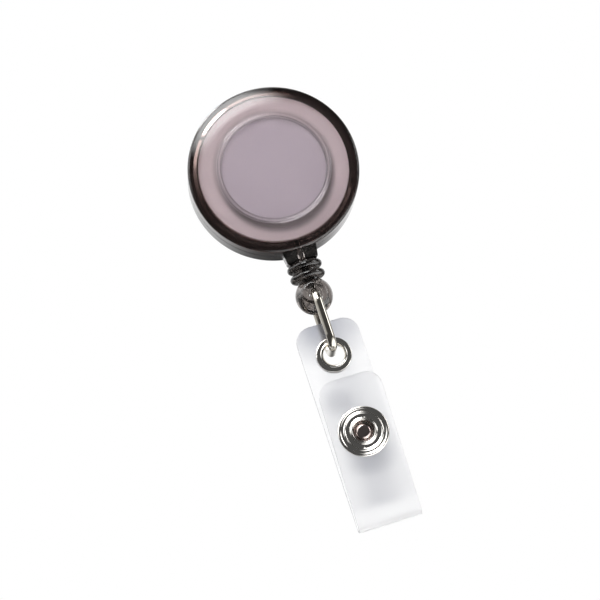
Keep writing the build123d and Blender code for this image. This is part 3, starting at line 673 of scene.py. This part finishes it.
def strap():
    """One strip of vinyl: back layer, fold and front flap."""
    half = (back_high.x - back_low.x) / 2
    thick = back_high.y - back_low.y
    back_y = (back_low.y + back_high.y) / 2
    flap_y = (flap_low.y + flap_high.y) / 2
    fold_r = (back_y - flap_y) / 2
    fold_y = (back_y + flap_y) / 2
    fold_z = back_low.z
    down = back_high.z - fold_z
    turn = down + math.pi * fold_r
    up = flap_high.z - fold_z
    length = turn + up
    skew = (flap_high.x - back_high.x) / up
    columns = [k * MM for k in range(-5, 6)]
    columns += [side * (half - inset) for side in (-1, 1) for inset in (0, SIDE_INSET)]
    rise = socket_mid.z - fold_z
    holes = (
        (0, back_high.z - eyelet_mid.z, EYELET_HOLE),
        (socket_mid.x, back_high.z - socket_mid.z, POST_HOLE),
        (socket_mid.x - skew * rise, turn + rise, BARREL_HOLE),
    )
    made = holed_grid(sorted(columns), strap_rows(down, turn, length), holes)

    for vert in made.verts:
        x, s, _ = vert.co
        end = STRAP_CORNER - min(s, length - s)
        if end > 0:
            x *= 1 - (STRAP_CORNER - math.sqrt(max(0.0, STRAP_CORNER**2 - end**2))) / half
        across = 1 - (x / half) ** 2
        if down <= s <= turn:
            a = (s - down) / fold_r
            vert.co = (x, fold_y + fold_r * math.cos(a), fold_z - fold_r * math.sin(a))
            continue
        front = s > turn
        z = fold_z + s - turn if front else back_high.z - s
        bow = CROWN * across * min(1.0, (z - fold_z) / CROWN_FOLD)
        bow *= min(1.0, abs(z - socket_mid.z) / CROWN_SNAP) ** 2
        if not front:
            bow *= min(1.0, abs(z - eyelet_mid.z) / CROWN_EYELET) ** 2
        vert.co = (x + skew * (z - fold_z), flap_y - bow, z) if front else (x, back_y + bow, z)
    mesh = thickened("strap", made, thick, STRAP_EDGE, VINYL, VINYL_EDGE)
    obj = piece("strap", mesh)
    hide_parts("strap_back", "strap_fold", "strap_flap")
    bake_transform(obj)


# ---------------------------------------------------------------- metal pieces with finer shapes

# Crimp notches in the socket's groove, whose radius and half width are in mm.
NOTCHES = 10
NOTCH_DEPTH = 0.035 * MM
GROOVE_R = 2.9
GROOVE_HALF = 0.4
SOCKET_STEPS = 160
TURNED_STEPS = 96


def socket_ring():
    """Pressed socket of the snap, with crimp notches in the groove round its middle."""
    face = flap_low.y
    radius = (socket_high.x - socket_low.x) / 2 / MM
    profile = (
        (radius - 0.45, 0.0),
        (radius - 0.16, 0.0),
        (radius - 0.04, 0.12),
        (radius, 0.3),
        (radius - 0.04, 0.46),
        (radius - 0.16, 0.6),
        (radius - 0.33, 0.65),
        (radius - 0.49, 0.6),
        (radius - 0.6, 0.5),
        (4.0, 0.46),
        (3.76, 0.46),
        (3.68, 0.5),
        (3.6, 0.6),
        (3.5, 0.65),
        (3.4, 0.6),
        (3.32, 0.52),
        (3.2, 0.48),
        (2.95, 0.46),
        (2.7, 0.46),
        (2.5, 0.5),
        (2.43, 0.6),
        (2.36, 0.78),
        (2.26, 0.88),
        (2.14, 0.9),
        (2.04, 0.82),
        (1.97, 0.66),
        (1.95, 0.4),
        (1.95, -0.85),
        (2.4, -0.85),
        (2.4, -0.1),
    )
    rings = []
    for k in range(SOCKET_STEPS):
        angle = math.tau * k / SOCKET_STEPS
        notch = max(0.0, math.cos(angle * NOTCHES)) ** 4 * NOTCH_DEPTH
        ring = []
        for r, height in profile:
            near = max(0.0, 1 - abs(r - GROOVE_R) / GROOVE_HALF)
            depth = height * MM - notch * near
            x = socket_mid.x + r * MM * math.cos(angle)
            ring.append(Vector((x, face - depth, socket_mid.z + r * MM * math.sin(angle))))
        rings.append(ring)
    obj = piece("snap_socket_ring", skin("snap_socket_ring", rings, True), NICKEL)
    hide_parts("snap_socket")
    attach(obj, "flap")


def turned(name, replaced, base_y, profile, material):
    """A turned piece on the snap's axis. The profile's points are in mm: radius, height to the front."""
    centre = Vector((socket_mid.x, base_y, socket_mid.z))
    rings = []
    for k in range(TURNED_STEPS):
        angle = math.tau * k / TURNED_STEPS
        way = Vector((math.cos(angle), 0, math.sin(angle)))
        rings.append([centre + (way * r - Vector((0, h, 0))) * MM for r, h in profile])
    mesh = skin(name, rings, True)
    made = bmesh.new()
    made.from_mesh(mesh)
    bmesh.ops.remove_doubles(made, verts=made.verts, dist=0.001 * MM)
    bmesh.ops.recalc_face_normals(made, faces=made.faces)
    made.to_mesh(mesh)
    made.free()
    obj = piece(name, mesh, material)
    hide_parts(replaced)
    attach(obj, "strap")


def stud():
    """Snap stud: its flange on the back layer, its neck, and a flat head with a round bevel."""
    height = (stud_high.y - stud_low.y) / MM
    head = (
        (0.0, 0.0),
        (0.5, 0.0),
        (0.98, 0.0),
        (1.04, 0.01),
        (1.14, 0.06),
        (1.27, 0.15),
        (1.4, 0.27),
        (1.52, 0.42),
        (1.58, 0.56),
        (1.6, 0.7),
        (1.5, 0.86),
        (1.2, 0.96),
        (1.15, 1.05),
    )
    flange = (
        (1.15, 0.75),
        (1.3, 0.5),
        (1.65, 0.4),
        (3.4, 0.4),
        (3.55, 0.34),
        (3.6, 0.2),
        (3.6, 0.0),
        (0.85, 0.0),
        (0.85, 0.8),
        (0.0, 0.8),
    )
    profile = [(r, height - drop) for r, drop in head] + list(flange)
    turned("stud_turned", "snap_stud", stud_high.y, profile, STUD_NICKEL)


def post():
    """Post of the snap: a shallow dome behind the strap, on a shank that stands in the stud."""
    height = (post_high.y - post_low.y) / MM
    dome_r, dome_drop = 3.7, 0.42
    profile = [(dome_r * k / 8, dome_drop * (k / 8) ** 2) for k in range(9)]
    profile += [(3.87, 0.49), (3.96, 0.58), (4.0, 0.7), (3.98, 0.81), (3.9, 0.85)]
    profile += [(0.8, 0.85), (0.8, height), (0.0, height)]
    turned("post_turned", "snap_post", post_high.y, profile, NICKEL)


LEAF_THICK = 0.4 * MM
LEAF_EDGE = 0.05 * MM
LEAF_BEND = 1.9 * MM
LEAF_SWEEP = 3 * MM
# How far its back arm ends below its top, and how far its front arm and knee are from the pin.
LEAF_DROP = 0.8 * MM
LEAF_FRONT = 1.6 * MM
LEAF_KNEE = 3.2 * MM


def rounded(corners, radius, steps=8):
    """A line through the corners with each inner corner rounded to that radius."""
    line = [corners[0]]
    for before, corner, after in zip(corners, corners[1:], corners[2:]):
        into = (corner - before).normalized()
        out = (after - corner).normalized()
        turn = into.angle(out)
        side = (out - into * into.dot(out)).normalized()
        start = corner - into * radius * math.tan(turn / 2)
        centre = start + side * radius
        for k in range(steps + 1):
            a = turn * k / steps
            line.append(centre + (into * math.sin(a) - side * math.cos(a)) * radius)
    line.append(corners[-1])
    return line


def leaf_spring():
    """Leaf spring of the clip: it bends between the plate and the thumb tab."""
    inner = LEAF_THICK / 2
    back = leaf_low.y + inner
    front = pin_mid.y + LEAF_FRONT
    tip = leaf_high.y - inner
    top, low = leaf_high.z, leaf_low.z + inner
    knee = pin_mid.z + LEAF_KNEE
    places = ((back, top - LEAF_DROP), (back, low), (front, low), (front, knee), (tip, top))
    corners = [Vector((0, y, z)) for y, z in places]
    line = rounded(corners[:4], LEAF_BEND)[:-1] + rounded(corners[2:], LEAF_SWEEP)[1:]
    half = leaf_high.x
    made = bmesh.new()
    rows = [[made.verts.new((x, p.y, p.z)) for x in (-half, 0, half)] for p in line]
    for here, there in zip(rows, rows[1:]):
        for j in range(2):
            made.faces.new((here[j], here[j + 1], there[j + 1], there[j]))
    mesh = thickened("leaf_spring", made, LEAF_THICK, LEAF_EDGE, SPRING)
    obj = piece("leaf_spring", mesh)
    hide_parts("clip_spring")
    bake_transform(obj)


# ---------------------------------------------------------------- stage, light and camera


def aim(obj, target):
    """Turns a lamp or camera so that it looks at target."""
    way = Vector(target) - obj.location
    obj.rotation_euler = way.to_track_quat("-Z", "Y").to_euler()


def towards(azimuth, elevation, distance, centre):
    """A point at that distance from centre, seen at those angles."""
    a, e = math.radians(azimuth), math.radians(elevation)
    way = Vector((math.sin(a) * math.cos(e), -math.cos(a) * math.cos(e), math.sin(e)))
    return Vector(centre) + way * distance


def level_grid(name, segments, size):
    """A level square mesh that reaches that far each way from its middle."""
    mesh = bpy.data.meshes.new(name)
    made = bmesh.new()
    bmesh.ops.create_grid(made, x_segments=segments, y_segments=segments, size=size)
    made.to_mesh(mesh)
    made.free()
    return mesh


FLOOR_SIZE = 3.0
FLOOR_GAP = 0.03


def floor():
    """A plain pale floor, below the strap when the cord is pulled right out."""
    mesh = level_grid("floor", 8, FLOOR_SIZE)
    obj = placed("floor", mesh)
    obj.location.z = cad_box[0][2] - joints["cord_pull"]["range_m"][1] - FLOOR_GAP
    obj.visible_glossy = False
    s = Shader("floor_pale")
    s.set(Roughness=0.9)
    s.feed("Base Color", s.colours(s.noise(3.0), (0.71, 0.71, 0.71), (0.73, 0.73, 0.73)))
    mesh.materials.append(s.material)


# The lit panels: name, azimuth and elevation in degrees, distance, width, height and strength.
PANELS = (
    ("key", -4.0, 38.0, 0.7, 0.5, 0.38, 10.5),
    ("strip", -112.0, 69.0, 0.8, 0.6, 0.34, 24.0),
    ("right", 72.0, 8.0, 0.8, 0.4, 0.7, 4.0),
)
# How far from its middle a panel's light begins and ends to fade, where its edge is at 1.
PANEL_FADE = (0.45, 1.05)


def softbox(name, azimuth, elevation, distance, width, height, strength):
    """A lit panel that looks at the case and fades towards its edges, so that its reflection has
    soft edges."""
    mesh = level_grid(name, 2, 1)
    obj = placed(name, mesh)
    obj.location = towards(azimuth, elevation, distance, case_centre)
    aim(obj, case_centre)
    obj.scale = (width / 2, height / 2, 1)
    obj.visible_camera = False
    s = Shader(name)
    s.set(Base_Color=(0, 0, 0, 1), Roughness=1.0, Specular_IOR_Level=0.0, Emission_Color=(1, 1, 1, 1))
    away = s.node("VectorMath", operation="LENGTH")
    s.link(s.place, away.inputs[0])
    glow = s.spread(away.outputs["Value"], strength, 0.0, *PANEL_FADE)
    s.feed("Emission Strength", glow)
    mesh.materials.append(s.material)


# Strengths of the world's light: in front, from LIGHT_WAY, behind, and from behind and below.
FRONT_LIGHT = 0.08
SIDE_LIGHT = 3.4
BACK_LIGHT = 1.1
LOW_LIGHT = 0.1
LIGHT_WAY = (-0.45, 0, 0.89)
# Where each passes into the next: along LIGHT_WAY, in height, and from front to back.
SIDE_EDGE = (0.48, 1.0)
LOW_EDGE = (-0.3, 0.06)
BACK_EDGE = (0.25, 0.7)


def studio_world():
    """White behind the object. In front, light from the upper left and the lower right only, so
    that metal shows contrast. The camera itself sees plain white."""
    world = bpy.data.worlds.new("studio")
    bpy.context.scene.world = world
    world.use_nodes = True
    tree = world.node_tree
    tree.nodes.clear()
    out = tree.nodes.new("ShaderNodeOutputWorld")
    coords = tree.nodes.new("ShaderNodeTexCoord")
    split = tree.nodes.new("ShaderNodeSeparateXYZ")
    tree.links.new(coords.outputs["Generated"], split.inputs[0])
    diagonal = tree.nodes.new("ShaderNodeVectorMath")
    diagonal.operation = "DOT_PRODUCT"
    diagonal.inputs[1].default_value = LIGHT_WAY
    tree.links.new(coords.outputs["Generated"], diagonal.inputs[0])
    aside = tree.nodes.new("ShaderNodeMath")
    aside.operation = "ABSOLUTE"
    tree.links.new(diagonal.outputs["Value"], aside.inputs[0])

    def ramp(value, edge, low, high):
        """From low to high as value passes from one end of that edge to the other."""
        made = tree.nodes.new("ShaderNodeMapRange")
        made.interpolation_type = "SMOOTHSTEP"
        made.inputs["From Min"].default_value, made.inputs["From Max"].default_value = edge
        for key, number in (("To Min", low), ("To Max", high)):
            if isinstance(number, float):
                made.inputs[key].default_value = number
            else:
                tree.links.new(number, made.inputs[key])
        tree.links.new(value, made.inputs["Value"])
        return made.outputs["Result"]

    front = ramp(aside.outputs[0], SIDE_EDGE, FRONT_LIGHT, SIDE_LIGHT)
    behind = ramp(split.outputs["Z"], LOW_EDGE, LOW_LIGHT, BACK_LIGHT)
    both = ramp(split.outputs["Y"], BACK_EDGE, front, behind)
    studio = tree.nodes.new("ShaderNodeBackground")
    tree.links.new(both, studio.inputs["Strength"])
    white = tree.nodes.new("ShaderNodeBackground")
    path = tree.nodes.new("ShaderNodeLightPath")
    mix = tree.nodes.new("ShaderNodeMixShader")
    tree.links.new(path.outputs["Is Camera Ray"], mix.inputs[0])
    tree.links.new(studio.outputs[0], mix.inputs[1])
    tree.links.new(white.outputs[0], mix.inputs[2])
    for background in (studio, white):
        background.inputs["Color"].default_value = (1, 1, 1, 1)
    tree.links.new(mix.outputs[0], out.inputs["Surface"])


# The photograph's view, in degrees and metres: the width is that of the picture at the object.
VIEW_AZIMUTH = -6.5
VIEW_ELEVATION = -12.5
VIEW_ROLL = -18.4
VIEW_DISTANCE = 0.6
VIEW_WIDTH = 0.11096
VIEW_CENTRE = Vector((-2.724 * MM, cord_y, -24.69 * MM))


def camera():
    """Looks from below and the left, rolled so that the reel hangs askew as in the photograph."""
    data = bpy.data.cameras.new("camera")
    obj = placed("camera", data)
    obj.location = towards(VIEW_AZIMUTH, VIEW_ELEVATION, VIEW_DISTANCE, VIEW_CENTRE)
    way = VIEW_CENTRE - obj.location
    upright = way.to_track_quat("-Z", "Y").to_matrix()
    obj.rotation_euler = (upright @ Matrix.Rotation(math.radians(VIEW_ROLL), 3, "Z")).to_euler()
    data.lens = data.sensor_width * VIEW_DISTANCE / VIEW_WIDTH
    data.clip_start = 0.01
    data.clip_end = 20.0
    bpy.context.scene.camera = obj


camera()
cord_winding()
cord_lead()
cord_knot()
strap()
socket_ring()
stud()
post()
leaf_spring()
floor()
studio_world()
for panel in PANELS:
    softbox(*panel)
bpy.context.scene.view_settings.view_transform = "Standard"
